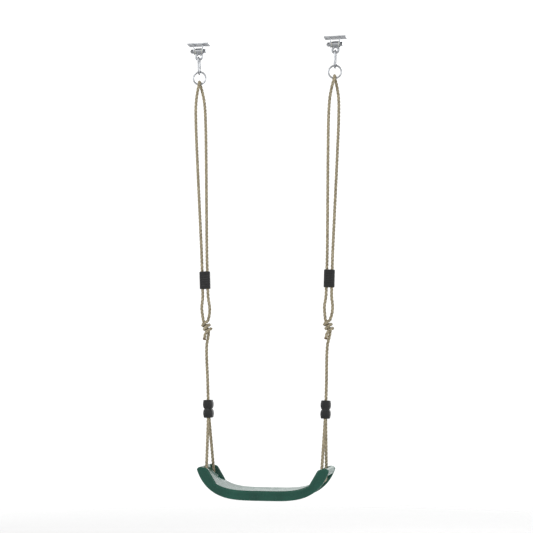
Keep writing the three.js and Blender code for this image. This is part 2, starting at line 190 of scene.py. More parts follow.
def make_world():
    """Greys that change only from straight down (0) to straight up (1), brightest about level."""
    world = bpy.data.worlds.new("studio")
    bpy.context.scene.world = world
    world.use_nodes = True
    tree = world.node_tree
    coords = tree.nodes.new("ShaderNodeTexCoord")
    direction = tree.nodes.new("ShaderNodeSeparateXYZ")
    upward = tree.nodes.new("ShaderNodeMapRange")
    upward.inputs["From Min"].default_value = -1.0
    ramp = tree.nodes.new("ShaderNodeValToRGB")
    ramp.color_ramp.interpolation = "EASE"
    for position, _ in WORLD_GREYS[1:-1]:
        ramp.color_ramp.elements.new(position)
    for element, (position, grey) in zip(ramp.color_ramp.elements, WORLD_GREYS):
        element.position = position
        element.color = (grey, grey, grey, 1)
    link = tree.links.new
    link(coords.outputs["Generated"], direction.inputs[0])
    link(direction.outputs["Z"], upward.inputs["Value"])
    link(upward.outputs["Result"], ramp.inputs["Fac"])
    link(ramp.outputs["Color"], tree.nodes["Background"].inputs["Color"])


def make_stage():
    """The world, three lights and a pale floor disc."""
    bpy.context.scene.view_settings.view_transform = "Standard"
    make_world()
    for light in LIGHTS:
        area_light(*light)
    rim = [(FLOOR_RADIUS * math.cos(angle), FLOOR_RADIUS * math.sin(angle), FLOOR_Z)
           for angle in whole_turn(FLOOR_SIDES)]
    mesh = bpy.data.meshes.new("floor")
    mesh.from_pydata(rim, [], [list(range(FLOOR_SIDES))])
    floor = new_object("floor", mesh)
    floor.data.materials.append(floor_material())


# ---- materials ----
class Paint:
    """A Principled material with short ways to add the nodes that drive it."""

    def __init__(self, name, roughness=0.5, metallic=0.0, specular=0.5):
        self.material = bpy.data.materials.new(name)
        self.material.use_nodes = True
        self.tree = self.material.node_tree
        self.shader = self.tree.nodes["Principled BSDF"]
        self.shader.inputs["Roughness"].default_value = roughness
        self.shader.inputs["Metallic"].default_value = metallic
        self.shader.inputs["Specular IOR Level"].default_value = specular
        self.coords = self.tree.nodes.new("ShaderNodeTexCoord")

    def node(self, kind, **inputs):
        made = self.tree.nodes.new(kind)
        for name, value in inputs.items():
            self.feed(made, name, value)
        return made

    def feed(self, node, name, value):
        """Links a socket to an input, or sets the input to a plain value."""
        if isinstance(value, bpy.types.NodeSocket):
            self.tree.links.new(value, node.inputs[name])
        else:
            node.inputs[name].default_value = value

    def noise(self, scale, detail=3.0, stretch=None):
        vector = self.coords.outputs["Object"]
        if stretch:
            mapping = self.node("ShaderNodeMapping", Vector=vector)
            mapping.inputs["Scale"].default_value = stretch
            vector = mapping.outputs["Vector"]
        made = self.node("ShaderNodeTexNoise", Vector=vector, Scale=scale, Detail=detail)
        return made.outputs["Fac"]

    def ramp(self, factor, low, high, start=0.3, end=0.7):
        made = self.node("ShaderNodeValToRGB", Fac=factor)
        first, last = made.color_ramp.elements
        first.position, last.position = start, end
        first.color, last.color = (*low, 1), (*high, 1)
        return made.outputs["Color"]

    def level(self, factor, low, high, start=0.3, end=0.7):
        made = self.node("ShaderNodeMapRange", Value=factor)
        for name, value in zip(("From Min", "From Max", "To Min", "To Max"), (start, end, low, high)):
            made.inputs[name].default_value = value
        return made.outputs["Result"]

    def mix(self, factor, one, other):
        made = self.tree.nodes.new("ShaderNodeMix")
        made.data_type = "RGBA"
        self.feed(made, 0, factor)
        self.feed(made, 6, one)
        self.feed(made, 7, other)
        return made.outputs[2]

    def maths(self, operation, one, other=0.0):
        made = self.tree.nodes.new("ShaderNodeMath")
        made.operation = operation
        self.feed(made, 0, one)
        self.feed(made, 1, other)
        return made.outputs[0]

    def bump(self, height, strength, distance, onto=None):
        made = self.node("ShaderNodeBump", Height=height, Strength=strength, Distance=distance)
        if onto is not None:
            self.feed(made, "Normal", onto)
        return made.outputs["Normal"]

    def edges(self, start=0.5, end=0.56):
        """About 0 on flat ground and 1 along worn outer edges."""
        made = self.tree.nodes.new("ShaderNodeNewGeometry")
        return self.level(made.outputs["Pointiness"], 0.0, 1.0, start, end)

    def colour(self, value):
        self.feed(self.shader, "Base Color", value)

    def roughness(self, value):
        self.feed(self.shader, "Roughness", value)

    def normal(self, value):
        self.feed(self.shader, "Normal", value)


def linear(red, green, blue):
    """A linear colour from the 0-255 numbers of a screen colour."""
    def one(value):
        value /= 255
        return value / 12.92 if value <= 0.04045 else ((value + 0.055) / 1.055) ** 2.4
    return one(red), one(green), one(blue)


def floor_material():
    """Pale and matt, fading out towards the rim so that no horizon shows."""
    paint = Paint("floor_pale", roughness=0.9, specular=0.1)
    paint.colour(paint.ramp(paint.noise(3.0), (0.935, 0.935, 0.935), (0.95, 0.95, 0.95)))
    flat = paint.node("ShaderNodeMapping", Vector=paint.coords.outputs["Object"])
    flat.inputs["Scale"].default_value = (1, 1, 0)
    distance = paint.tree.nodes.new("ShaderNodeVectorMath")
    distance.operation = "LENGTH"
    paint.feed(distance, 0, flat.outputs["Vector"])
    clear = paint.tree.nodes.new("ShaderNodeBsdfTransparent")
    mixed = paint.tree.nodes.new("ShaderNodeMixShader")
    paint.feed(mixed, 0, paint.level(distance.outputs["Value"], 0.0, 1.0, *FLOOR_FADE))
    paint.feed(mixed, 1, paint.shader.outputs[0])
    paint.feed(mixed, 2, clear.outputs[0])
    paint.feed(paint.tree.nodes["Material Output"], "Surface", mixed.outputs[0])
    return paint.material


def seat_material():
    """Semi-gloss moulded plastic: faint mottle, a fine grain, paler rubbed edges."""
    paint = Paint("seat_green", roughness=0.3, specular=0.3)
    paint.shader.inputs["Sheen Weight"].default_value = 0.12
    paint.shader.inputs["Sheen Roughness"].default_value = 0.35
    paint.shader.inputs["Sheen Tint"].default_value = (0.45, 0.95, 0.8, 1)
    body = paint.ramp(paint.noise(14.0, 4.0), linear(9, 62, 50), linear(17, 76, 62))
    patches = paint.level(paint.noise(90.0, 5.0), 0.1, 0.6)
    rubbed = paint.maths("MULTIPLY", paint.edges(0.505, 0.56), patches)
    paint.colour(paint.mix(rubbed, body, (*linear(78, 128, 112), 1)))
    paint.roughness(paint.level(paint.noise(60.0, 6.0), 0.17, 0.3))
    grain = paint.bump(paint.noise(1400.0, 2.0), 0.05, 0.0004)
    waves = paint.bump(paint.noise(55.0, 2.0), 0.15, 0.0012, grain)
    paint.normal(waves)
    return paint.material


def rope_material():
    """Laid synthetic hemp: yarns along each strand, pale and brown fibres, painted shade in the grooves."""
    yarns_round, yarn_turn = 11.0, 0.55
    paint = Paint("rope_beige", roughness=0.85, specular=0.25)
    paint.shader.inputs["Sheen Weight"].default_value = 0.25
    uv = paint.node("ShaderNodeSeparateXYZ", Vector=paint.coords.outputs["UV"])
    twist = paint.maths("MULTIPLY", uv.outputs["Y"], yarn_turn)
    around = paint.maths("MULTIPLY", uv.outputs["X"], yarns_round)
    phase = paint.maths("MULTIPLY", paint.maths("ADD", around, twist), 2 * math.pi)
    yarn = paint.level(paint.maths("SINE", phase), 0.0, 1.0, -1.0, 1.0)
    fibre = paint.noise(700.0, 6.0)
    body = paint.ramp(paint.noise(120.0, 5.0), linear(158, 146, 118), linear(216, 204, 172))
    dark = paint.mix(paint.level(fibre, 0.0, 0.55, 0.45, 0.75), body, (*linear(112, 96, 72), 1))
    # painted shade: the grooves between the yarns are darkened towards a dull brown
    groove_shaded = paint.mix(paint.level(yarn, 0.55, 0.0, 0.0, 0.45), dark, (*linear(104, 92, 70), 1))
    paint.colour(groove_shaded)
    paint.normal(paint.bump(fibre, 0.5, 0.0005, paint.bump(yarn, 0.8, 0.0008)))
    return paint.material


def black_material():
    """Satin black nylon with a spark-eroded grain and greyed edges."""
    paint = Paint("fitting_black", roughness=0.45, specular=0.35)
    body = paint.ramp(paint.noise(40.0, 4.0), linear(11, 12, 13), linear(21, 22, 23))
    rubbed = paint.maths("MULTIPLY", paint.edges(), 0.4)
    paint.colour(paint.mix(rubbed, body, (*linear(76, 76, 76), 1)))
    paint.roughness(paint.level(paint.noise(150.0, 4.0), 0.36, 0.55))
    paint.normal(paint.bump(paint.noise(1800.0, 2.0), 0.25, 0.0003))
    return paint.material


def zinc_material():
    """Zinc plate: fine drawing lines, brighter and duller patches and a few darker spots."""
    paint = Paint("steel_zinc", roughness=0.3, metallic=1.0)
    patches = paint.ramp(paint.noise(70.0, 5.0), linear(142, 145, 149), linear(184, 186, 189))
    spots = paint.level(paint.noise(420.0, 3.0), 0.0, 0.45, 0.62, 0.75)
    paint.colour(paint.mix(spots, patches, (*linear(104, 102, 97), 1)))
    paint.roughness(paint.level(paint.noise(160.0, 5.0), 0.22, 0.46))
    paint.normal(paint.bump(paint.noise(900.0, 2.0, (1.0, 1.0, 0.15)), 0.12, 0.0002))
    return paint.material


def nylon_material():
    """Off-white nylon with a little light passing into it."""
    paint = Paint("bush_white", roughness=0.5, specular=0.4)
    paint.shader.inputs["Subsurface Weight"].default_value = 0.1
    paint.colour(paint.ramp(paint.noise(90.0), linear(214, 210, 198), linear(232, 229, 220)))
    paint.normal(paint.bump(paint.noise(800.0, 2.0), 0.1, 0.0002))
    return paint.material


def seal_material():
    """The melted, browned end of a rope."""
    paint = Paint("rope_end_melted", roughness=0.35, specular=0.4)
    paint.colour(paint.ramp(paint.noise(500.0), linear(70, 54, 38), linear(128, 106, 80)))
    paint.normal(paint.bump(paint.noise(600.0, 3.0), 0.4, 0.0008))
    return paint.material


# ---- mesh helpers ----
def line_matrix(side):
    """From a line's own frame (millimetres, z = 0 at its snap hook's top rod) to metres."""
    place = Vector((side * HANGER_X, 0, hook_top.z)) * MM
    return Matrix.Translation(place) @ Matrix.Rotation(side * LINE_LEAN, 4, "Y") @ Matrix.Scale(MM, 4)


def hanger_matrix(side):
    """From a hanger's own frame (millimetres, origin on its bolt's axis) to metres."""
    return Matrix.Translation(Vector((side * HANGER_X, 0, pivot_z)) * MM) @ Matrix.Scale(MM, 4)


def new_piece(name, mesh, material, sharp=35.0):
    """An object whose edges sharper than this many degrees stay crisp."""
    piece = new_object(name, mesh)
    mesh.materials.clear()
    mesh.materials.append(material)
    shade(piece, sharp)
    return piece


def shade(piece, sharp):
    """Smooth faces, with the edges sharper than this many degrees kept crisp."""
    work = bmesh.new()
    work.from_mesh(piece.data)
    for face in work.faces:
        face.smooth = True
    for edge in work.edges:
        if len(edge.link_faces) == 2:
            edge.smooth = edge.calc_face_angle(0.0) < math.radians(sharp)
    work.to_mesh(piece.data)
    work.free()


def settle(piece, body, slot, *nodes):
    """Says which body the piece rides and which CAD nodes it replaces; the slot is not used."""
    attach(piece, body)
    if nodes:
        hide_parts(*nodes)


def skin(name, rings, closed=False, bridged=False):
    """A mesh over rings of points; its ends are capped unless the rings close on themselves.
    Bridged caps join the first half of a ring to its second half by narrow quads."""
    size, count = len(rings[0]), len(rings)
    points = [tuple(point) for ring in rings for point in ring]
    faces = []
    for row in range(count if closed else count - 1):
        here, there = row * size, ((row + 1) % count) * size
        for column in range(size):
            after = (column + 1) % size
            faces.append((here + column, here + after, there + after, there + column))
    for base in () if closed else (0, (count - 1) * size):
        faces += bridge(base, size) if bridged else [tuple(range(base, base + size))]
    mesh = bpy.data.meshes.new(name)
    mesh.from_pydata(points, [], faces)
    work = bmesh.new()
    work.from_mesh(mesh)
    bmesh.ops.recalc_face_normals(work, faces=work.faces)
    work.to_mesh(mesh)
    work.free()
    return mesh


def bridge(base, size):
    """Quads over a ring that is symmetric about its first and its middle point."""
    middle = size // 2
    faces = []
    for rung in range(middle // 2):
        near, far = (rung, rung + 1), (middle - rung - 1, middle - rung)
        faces.append(tuple(base + index for index in (*near, *far)))
        faces.append(tuple(base + (size - index) % size for index in (*near, *far)))
    return faces


def turned(name, profile, sides, matrix, axis="X"):
    """A profile of (radius, along) pairs turned about the X or the Z axis; it closes on itself."""
    rings = []
    for angle in whole_turn(sides):
        ring = []
        for radius, along in profile:
            first, second = radius * math.cos(angle), radius * math.sin(angle)
            point = (along, first, second) if axis == "X" else (first, second, along)
            ring.append(matrix @ Vector(point))
        rings.append(ring)
    return skin(name, rings, closed=True)


def plug_profile(profile):
    """Adds a hair-thin core to a profile, so that a solid of revolution closes neatly."""
    return [(CORE, profile[0][1]), *profile, (CORE, profile[-1][1])]


def curve_through(points, step):
    """Close points on a centripetal Catmull-Rom curve through the points given."""
    knots = [Vector(point) for point in points]
    knots = [2 * knots[0] - knots[1], *knots, 2 * knots[-1] - knots[-2]]
    dense = []
    for before, start, end, after in zip(knots, knots[1:], knots[2:], knots[3:]):
        spans = (start - before, end - start, after - end)
        first, middle, last = (max(span.length, 1e-6) ** 0.5 for span in spans)
        into = spans[0] / first - (end - before) / (first + middle) + spans[1] / middle
        outof = spans[1] / middle - (after - start) / (middle + last) + spans[2] / last
        into, outof = into * middle, outof * middle
        pieces = max(2, int(spans[1].length / step * 4))
        for index in range(pieces):
            t = index / pieces
            dense.append((2 * t**3 - 3 * t**2 + 1) * start + (t**3 - 2 * t**2 + t) * into
                         + (3 * t**2 - 2 * t**3) * end + (t**3 - t**2) * outof)
    return [*dense, knots[-2]]


def smooth_route(points, step):
    """Evenly spaced points on a smooth curve through the points given, and its length."""
    dense = curve_through(points, step)
    lengths = [0.0]
    for one, other in zip(dense, dense[1:]):
        lengths.append(lengths[-1] + (other - one).length)
    count = max(2, round(lengths[-1] / step))
    even, index = [], 0
    for number in range(count + 1):
        wanted = lengths[-1] * number / count
        while index < len(dense) - 2 and lengths[index + 1] < wanted:
            index += 1
        span = max(lengths[index + 1] - lengths[index], 1e-9)
        even.append(dense[index].lerp(dense[index + 1], (wanted - lengths[index]) / span))
    return even, lengths[-1]


def travelling_frames(route):
    """Two directions across the route at each point, carried along without twisting."""
    tangents = [(after - before).normalized() for before, after in
                zip([route[0], *route[:-1]], [*route[1:], route[-1]])]
    across = tangents[0].orthogonal().normalized()
    frames = []
    for tangent in tangents:
        across = (across - tangent * across.dot(tangent)).normalized()
        frames.append((across.copy(), tangent.cross(across)))
    return frames


def rod(name, points, radius, sides, matrix, step, end_round=0.0):
    """A round bar along a route, with its far end rounded over if asked."""
    route, _ = smooth_route(points, step)
    frames = travelling_frames(route)
    radii = [radius] * len(route)
    if end_round:
        steps, arc = BAR_END
        last, heading = route[-1], (route[-1] - route[-2]).normalized()
        for index in range(1, steps + 1):
            angle = index / steps * arc
            route.append(last + heading * end_round * math.sin(angle))
            frames.append(frames[-1])
            radii.append(radius - end_round + end_round * math.cos(angle))
    rings = []
    for centre, (across, up), size in zip(route, frames, radii):
        rings.append([matrix @ (centre + across * size * math.cos(angle) + up * size * math.sin(angle))
                      for angle in whole_turn(sides)])
    return skin(name, rings)


def hoop(name, centre_z, radius, thickness, steps, sides, matrix):
    """A ring of round bar in the XZ plane; thickness gives the bar's radius at an angle."""
    rings = []
    for angle in whole_turn(steps):
        size = thickness(angle)
        ring = []
        for turn in whole_turn(sides):
            reach = radius + size * math.cos(turn)
            ring.append(matrix @ Vector((reach * math.cos(angle), size * math.sin(turn),
                                         centre_z + reach * math.sin(angle))))
        rings.append(ring)
    return skin(name, rings, closed=True)


def combine(piece, mesh, operation="DIFFERENCE"):
    """Cuts a mesh out of the piece, or joins or intersects it."""
    other = new_object("tool", mesh)
    change = piece.modifiers.new("combine", "BOOLEAN")
    change.operation, change.solver, change.object = operation, "EXACT", other
    apply_modifiers(piece)
    bpy.data.objects.remove(other)
    return piece


def apply_modifiers(piece):
    """Puts the modified mesh in the place of the piece's own."""
    graph = bpy.context.evaluated_depsgraph_get()
    made = bpy.data.meshes.new_from_object(piece.evaluated_get(graph))
    piece.modifiers.clear()
    old, piece.data = piece.data, made
    bpy.data.meshes.remove(old)


AXIS_ORDER = {
    "Z": lambda a, b, c: (a, b, c),
    "Y": lambda a, b, c: (a, c, b),
    "X": lambda a, b, c: (c, a, b),
}


def prism(name, outline, low, high, matrix, axis="Z"):
    """An outline of (a, b) pairs pushed along an axis: Z from XY, Y from XZ, X from YZ."""
    ordered = AXIS_ORDER[axis]
    return skin(name, [[matrix @ Vector(ordered(a, b, c)) for a, b in outline] for c in (low, high)])


def rounded_box(half_a, half_b, corner, pieces=6):
    """A rectangle with rounded corners and, where there's room, a point close beside each."""
    outline = []
    for turn, (sign_a, sign_b) in enumerate(((1, 1), (-1, 1), (-1, -1), (1, -1))):
        middle_a, middle_b = sign_a * (half_a - corner), sign_b * (half_b - corner)
        corner_points = []
        for index in range(pieces + 1):
            angle = math.pi / 2 * (turn + index / pieces)
            corner_points.append((middle_a + corner * math.cos(angle), middle_b + corner * math.sin(angle)))
        angle = math.pi / 2 * turn
        before, after = SUPPORT * math.sin(angle), SUPPORT * math.cos(angle)
        if min(half_a, half_b) - corner > 2 * SUPPORT:
            first, last = corner_points[0], corner_points[-1]
            corner_points.insert(0, (first[0] + before, first[1] - after))
            corner_points.append((last[0] - after, last[1] - before))
        outline += corner_points
    return outline


def bevelled(piece, width, segments=3, angle=35.0):
    """Breaks the edges sharper than this many degrees, and keeps the flats flat in shading."""
    change = piece.modifiers.new("bevel", "BEVEL")
    change.width, change.segments = width * MM, segments
    change.limit_method, change.angle_limit = "ANGLE", math.radians(angle)
    apply_modifiers(piece)
    shade(piece, 40.0)
    even = piece.modifiers.new("even", "WEIGHTED_NORMAL")
    even.keep_sharp = True
    apply_modifiers(piece)


def forged(piece, voxel, rounds):
    """Remeshes a joined piece and smooths it, so that its parts run into each other."""
    change = piece.modifiers.new("remesh", "REMESH")
    change.mode, change.voxel_size = "VOXEL", voxel * MM
    soften = piece.modifiers.new("soften", "SMOOTH")
    soften.iterations, soften.factor = rounds, 0.5
    apply_modifiers(piece)
    shade(piece, 60.0)


# ---- rope ----
# The route's points, in a line's own frame. The CAD rope follows them too.
FRONT_LEG = [
    (0, -6.2, -1242), (0, -6.2, -1254), (0, -12, -1282), (0, -29, -1350), (0, -45, -1414),
    (0, -HOLE_OUT + 1, -LINE_LENGTH + 30), (0, -HOLE_OUT, -LINE_LENGTH + 14),
    (0, -HOLE_OUT + 3, -LINE_LENGTH + 4.5), (0, -HOLE_OUT + 12, -LINE_LENGTH),
]
OUTER_STRAND = [
    (-12, 0, -905), (-14, 0, -880), (-9.8, 0, -846), (-9.3, 0, -828), (-9.3, 0, -765),
    (-9.3, 0, -706), (-12, 0, -560), (-16, 0, -360), (-17.5, 0, -230), (-15, -1.5, -165),
    (-7, -6.5, -122), (0, -8.9, RING_BOTTOM), (0, -7.7, RING_BOTTOM + 4.45),
    (0, -4.45, RING_BOTTOM + 7.7),
]
HITCH_KINK = [
    (0, 0, -1140), (0, 0, -1010), (6, 0, -980), (8, 0, -962), (0, 0, -946), (-8, 0, -930),
]


def hitch_wraps():
    """The tail's turns round the standing part, and its free end."""
    top, bottom = Vector((-6.5, 0, -926)), Vector((8, 0, -962))
    axis = (bottom - top).normalized()
    outward, forward = Vector((-axis.z, 0, axis.x)), Vector((0, -1, 0))
    turns, steps_a_turn, radius = 2.3, 10, ROPE * 1.02
    steps = turns * steps_a_turn
    points = []
    for index in range(int(steps) + 1):
        share = index / steps
        angle = 2 * math.pi * turns * share
        centre = top.lerp(bottom, 0.12 + 0.86 * share)
        points.append(centre + outward * radius * math.cos(angle) + forward * radius * math.sin(angle))
    last = points[-1]
    return [*points, last + Vector((-5, -3.5, -9)), last + Vector((-8, -6, -26))]


def rope_route():
    """From the back leg's end at the ferrule, under the seat, and up to the ring and back."""
    back_leg = [(x, -y, z) for x, y, z in FRONT_LEG]
    inner_strand = [(-x, -y, z) for x, y, z in reversed(OUTER_STRAND)]
    return [
        *back_leg, *reversed(FRONT_LEG), (0, -0.8, -1229), (0, 0, -1215), *HITCH_KINK,
        *OUTER_STRAND, (0, 0, RING_BOTTOM + 8.9), *inner_strand, *hitch_wraps(),
    ]


def laid_rope(name, route, matrix, step):
    """Three strands laid round the route. UV x goes once round a strand, and UV y counts
    YARN_LENGTH steps along it."""
    frames = travelling_frames(route)
    sides = STRAND_SIDES
    points, faces, wrap = [], [], []
    for strand in range(3):
        base = len(points)
        for index, (centre, (across, up)) in enumerate(zip(route, frames)):
            angle = 2 * math.pi * (index * step / LAY + strand / 3)
            out = across * math.cos(angle) + up * math.sin(angle)
            round_about = up * math.cos(angle) - across * math.sin(angle)
            for turn in whole_turn(sides):
                points.append(matrix @ (centre + out * (STRAND_OFFSET + STRAND_DEPTH * math.cos(turn))
                                        + round_about * STRAND_WIDTH * math.sin(turn)))
        for index in range(len(route) - 1):
            low, high = index * step / YARN_LENGTH, (index + 1) * step / YARN_LENGTH
            here, there = base + index * sides, base + (index + 1) * sides
            for side in range(sides):
                after = (side + 1) % sides
                faces.append((here + side, here + after, there + after, there + side))
                start, end = side / sides, (side + 1) / sides
                wrap.append(((start, low), (end, low), (end, high), (start, high)))
        faces.append(tuple(base + side for side in range(sides))[::-1])
        faces.append(tuple(base + (len(route) - 1) * sides + side for side in range(sides)))
        wrap += [((0, 0),) * sides] * 2
    mesh = bpy.data.meshes.new(name)
    mesh.from_pydata([tuple(point) for point in points], [], faces)
    layer = mesh.uv_layers.new(name="UVMap")
    flat = [pair for corners in wrap for pair in corners]
    for corner, pair in zip(layer.data, flat):
        corner.uv = pair
    return mesh


def make_rope(label, side, look, sealed):
    """The laid rope, and the melted plug that seals its free end."""
    route, length = smooth_route(rope_route(), ROUTE_STEP)
    matrix = line_matrix(side)
    mesh = laid_rope(f"rope_{label}", route, matrix, length / (len(route) - 1))
    piece = new_piece(f"rope_{label}", mesh, look, 70.0)
    settle(piece, f"line_{label}", "rope_fibre", f"main_rope_{label}")
    heading = (route[-1] - route[-2]).normalized()
    turn = heading.to_track_quat("X", "Z").to_matrix().to_4x4()
    place = matrix @ Matrix.Translation(route[-1]) @ turn
    profile = plug_profile([(4.9, -3.0), (5.7, -2.0), (5.9, 0.0), (5.2, 1.8), (3.0, 2.8)])
    end = new_piece(f"rope_end_{label}", turned("end", profile, 24, place), sealed, 60.0)
    settle(end, f"line_{label}", "rope_fibre")


# ---- black fittings ----
def make_adjuster(label, side, look):
    """A rounded block with two rope bores, flared mouths and grip grooves on both faces."""
    matrix = line_matrix(side)
    top, bottom = ADJUSTER["top"], ADJUSTER["top"] - ADJUSTER["height"]
    half_x, half_y = ADJUSTER["width"] / 2, ADJUSTER["depth"] / 2
    rings = []
    for z, inset in rounded_ends(bottom, top, 2.6):
        outline = rounded_box(half_x - inset, half_y - inset, 6.5 - inset, 7)
        rings.append([matrix @ Vector((x, y, z)) for x, y in outline])
    piece = new_piece(f"adjuster_{label}", skin("adjuster", rings), look)
    groove, reach, offset = rounded_box(half_x - 7.0, 1.7, 1.6, 4), 1.2, 0.35
    for step in range(GROOVES):
        z = (top + bottom) / 2 + (step - GROOVES // 2) * GROOVE_PITCH
        outline = [(a, b + z) for a, b in groove]
        for face in (-1, 1):
            y = face * (half_y + offset)
            combine(piece, prism("groove", outline, y - reach, y + reach, matrix, "Y"))
    bore = bore_profile(bottom, top, ROPE / 2 + 0.55)
    for strand in (-1, 1):
        place = matrix @ Matrix.Translation((strand * ADJUSTER["strand"], 0, 0))
        combine(piece, turned("bore", bore, 40, place, "Z"))
    forged(piece, 0.7, 4)
    settle(piece, f"adjuster_{label}", "black_plastic", f"length_adjuster_{label}")


def rounded_ends(low, high, edge, stations=10, arc=5):
    """(height, inset) pairs up a block whose two ends are rounded over by an edge radius."""
    lower = [(low + edge * (1 - math.cos(a)), edge * (1 - math.sin(a)))
             for a in (math.pi / 2 * i / arc for i in range(arc + 1))]
    middle = [(low + edge + (high - low - 2 * edge) * i / stations, 0.0) for i in range(1, stations)]
    upper = [(low + high - z, inset) for z, inset in reversed(lower)]
    return lower + middle + upper


def bore_profile(low, high, radius):
    """A bore's cutter: straight inside and flared at both mouths."""
    wide = radius + MOUTH_FLARE
    mouth = [(wide + 2, -2), (wide, 0), (radius + MOUTH_FLARE * 0.3, MOUTH_FLARE * 0.7),
             (radius, MOUTH_FLARE * 2)]
    lower = [(reach, low + inwards) for reach, inwards in mouth]
    upper = [(reach, high - inwards) for reach, inwards in reversed(mouth)]
    return plug_profile(lower + upper)


def ferrule_swell(height, half):
    """0 at the waist and 1 at each lobe's middle; the two ends stay well swollen."""
    swell = math.sqrt(abs(math.sin(math.pi * height / half)) + 1e-6)
    least = 0.72 if abs(height - half) > half * 0.7 else 0.0
    return min(1.0, max(swell, least))


def make_ferrule(label, side, look):
    """Two swollen lobes and a waist, with one bore above and an oval mouth below."""
    matrix = line_matrix(side)
    top, height = FERRULE["top"], FERRULE["height"]
    bottom, half = top - height, height / 2
    rings = []
    for z, inset in rounded_ends(bottom, top, 3.0, 40):
        swell = ferrule_swell(z - bottom, half)
        wide = FERRULE["waist"] + (FERRULE["width"] - FERRULE["waist"]) * swell
        deep = FERRULE["depth"] - LOBE_SWELL + LOBE_SWELL * swell
        outline = rounded_box(wide / 2 - inset, deep / 2 - inset, 8.5 - inset, 7)
        rings.append([matrix @ Vector((x, y, z)) for x, y in outline])
    piece = new_piece(f"ferrule_{label}", skin("ferrule", rings), look)
    upper = bore_profile(top - half - 4, top, ROPE / 2 + 0.5)
    combine(piece, turned("bore", upper, 40, matrix, "Z"))
    mouth = rounded_box(ROPE / 2 + 0.6, ROPE / 2 + 8.6, ROPE / 2 + 0.5, 8)
    combine(piece, prism("mouth", mouth, bottom - 5, bottom + half, matrix))
    bevelled(piece, 0.4, 2, 50.0)
    settle(piece, f"line_{label}", "black_plastic", f"fork_ferrule_{label}")


# ---- steel ----
def arc_yz(centre_z, radius, start, end, count):
    """Points along an arc in the YZ plane."""
    return [(0, radius * math.cos(a), centre_z + radius * math.sin(a)) for a in
            (start + (end - start) * i / count for i in range(count + 1))]


def ring_thickness(angle):
    """The wire's radius, with the slight swelling of its welded joint."""
    swelling, joint_angle, spread = 0.35, 2.2, 0.07
    return RING_WIRE / 2 + swelling * math.exp(-((angle - joint_angle) / spread) ** 2)


def make_ring(label, side, look):
    """The round ring that carries the rope."""
    mesh = hoop("ring", RING_CENTRE, RING_RADIUS, ring_thickness, 112, 24, line_matrix(side))
    piece = new_piece(f"ring_{label}", mesh, look, 60.0)
    settle(piece, f"line_{label}", "zinc_steel", f"rope_ring_{label}")


def rivet_matrix(side):
    """From the rivet's own frame (millimetres, along X) to metres."""
    return line_matrix(side) @ Matrix.Translation((0, HOOK_WIDTH / 2, RIVET_Z))


def drill_for_rivet(piece, side):
    hole = plug_profile([(RIVET_HOLE, -8), (RIVET_HOLE, 8)])
    combine(piece, turned("hole", hole, 24, rivet_matrix(side)))


def make_hook(label, side, look):
    """The bent bar and its flattened tang, drilled for the rivet."""
    matrix = line_matrix(side)
    half = HOOK_WIDTH / 2
    lower = arc_yz(-HOOK_HEIGHT + half, half, -0.15, -math.pi, 12)
    upper = arc_yz(-half, half, math.pi, 0.0, 12)
    points = [*lower, *upper, (0, half, -12.2)]
    body = new_piece(f"hook_{label}", rod("hook", points, HOOK_ROD / 2, 28, matrix, 1.4, 1.2), look)
    tang = [(a + half, b + RIVET_Z - 1.4) for a, b in rounded_box(2.7, 4.6, 2.6, 6)]
    combine(body, prism("tang", tang, -1.5, 1.5, matrix, "X"), "UNION")
    drill_for_rivet(body, side)
    bevelled(body, 0.25, 2, 50.0)
    settle(body, f"line_{label}", "zinc_steel", f"snap_hook_{label}")


def make_gate(label, side, look):
    """The turned gate with its slot, which straddles the hook's tang."""
    place = rivet_matrix(side)
    length = GATE_TOP - RIVET_Z
    profile = plug_profile([
        (1.4, -3.1), (2.5, -2.2), (3.1, -0.8), (3.2, 0.4), (3.2, length - 4.2), (2.9, length - 3.7),
        (2.9, length - 2.9), (3.2, length - 2.4), (3.2, length - 0.9), (2.6, length - 0.1), (1.2, length)])
    gate = new_piece(f"gate_{label}", turned("gate", profile, 28, place, "Z"), look)
    slot = rounded_box(2.0, 12.0, 1.6, 5)
    combine(gate, prism("slot", slot, -9, 9, place, "Y"))
    drill_for_rivet(gate, side)
    bevelled(gate, 0.15, 2, 50.0)
    settle(gate, f"gate_{label}", "zinc_steel", f"hook_gate_{label}")


def make_rivet(label, side, look):
    """A pin with a domed head at both ends."""
    dome = [(0.9, 4.45), (1.8, 4.2), (2.3, 3.6), (1.4, 3.55)]
    whole = [(radius, -x) for radius, x in dome] + [(radius, x) for radius, x in reversed(dome)]
    mesh = turned("rivet", plug_profile(whole), 24, rivet_matrix(side))
    pin = new_piece(f"rivet_{label}", mesh, look)
    settle(pin, f"line_{label}", "zinc_steel", f"gate_rivet_{label}")


def make_spring(label, side, look):
    """The gate's return spring, which stands above the rivet in the gate's slot."""
    turns, steps_a_turn, radius, foot, height = 6, 14, 1.25, RIVET_Z + 5.2, 6.0
    steps = turns * steps_a_turn
    coil = []
    for index in range(steps + 1):
        angle = 2 * math.pi * index / steps_a_turn
        coil.append((radius * math.cos(angle), HOOK_WIDTH / 2 + radius * math.sin(angle),
                     foot + height * index / steps))
    mesh = rod("spring", coil, 0.33, 8, line_matrix(side), 0.35)
    spring = new_piece(f"spring_{label}", mesh, look, 60.0)
    settle(spring, f"gate_{label}", "zinc_steel", f"gate_spring_{label}")


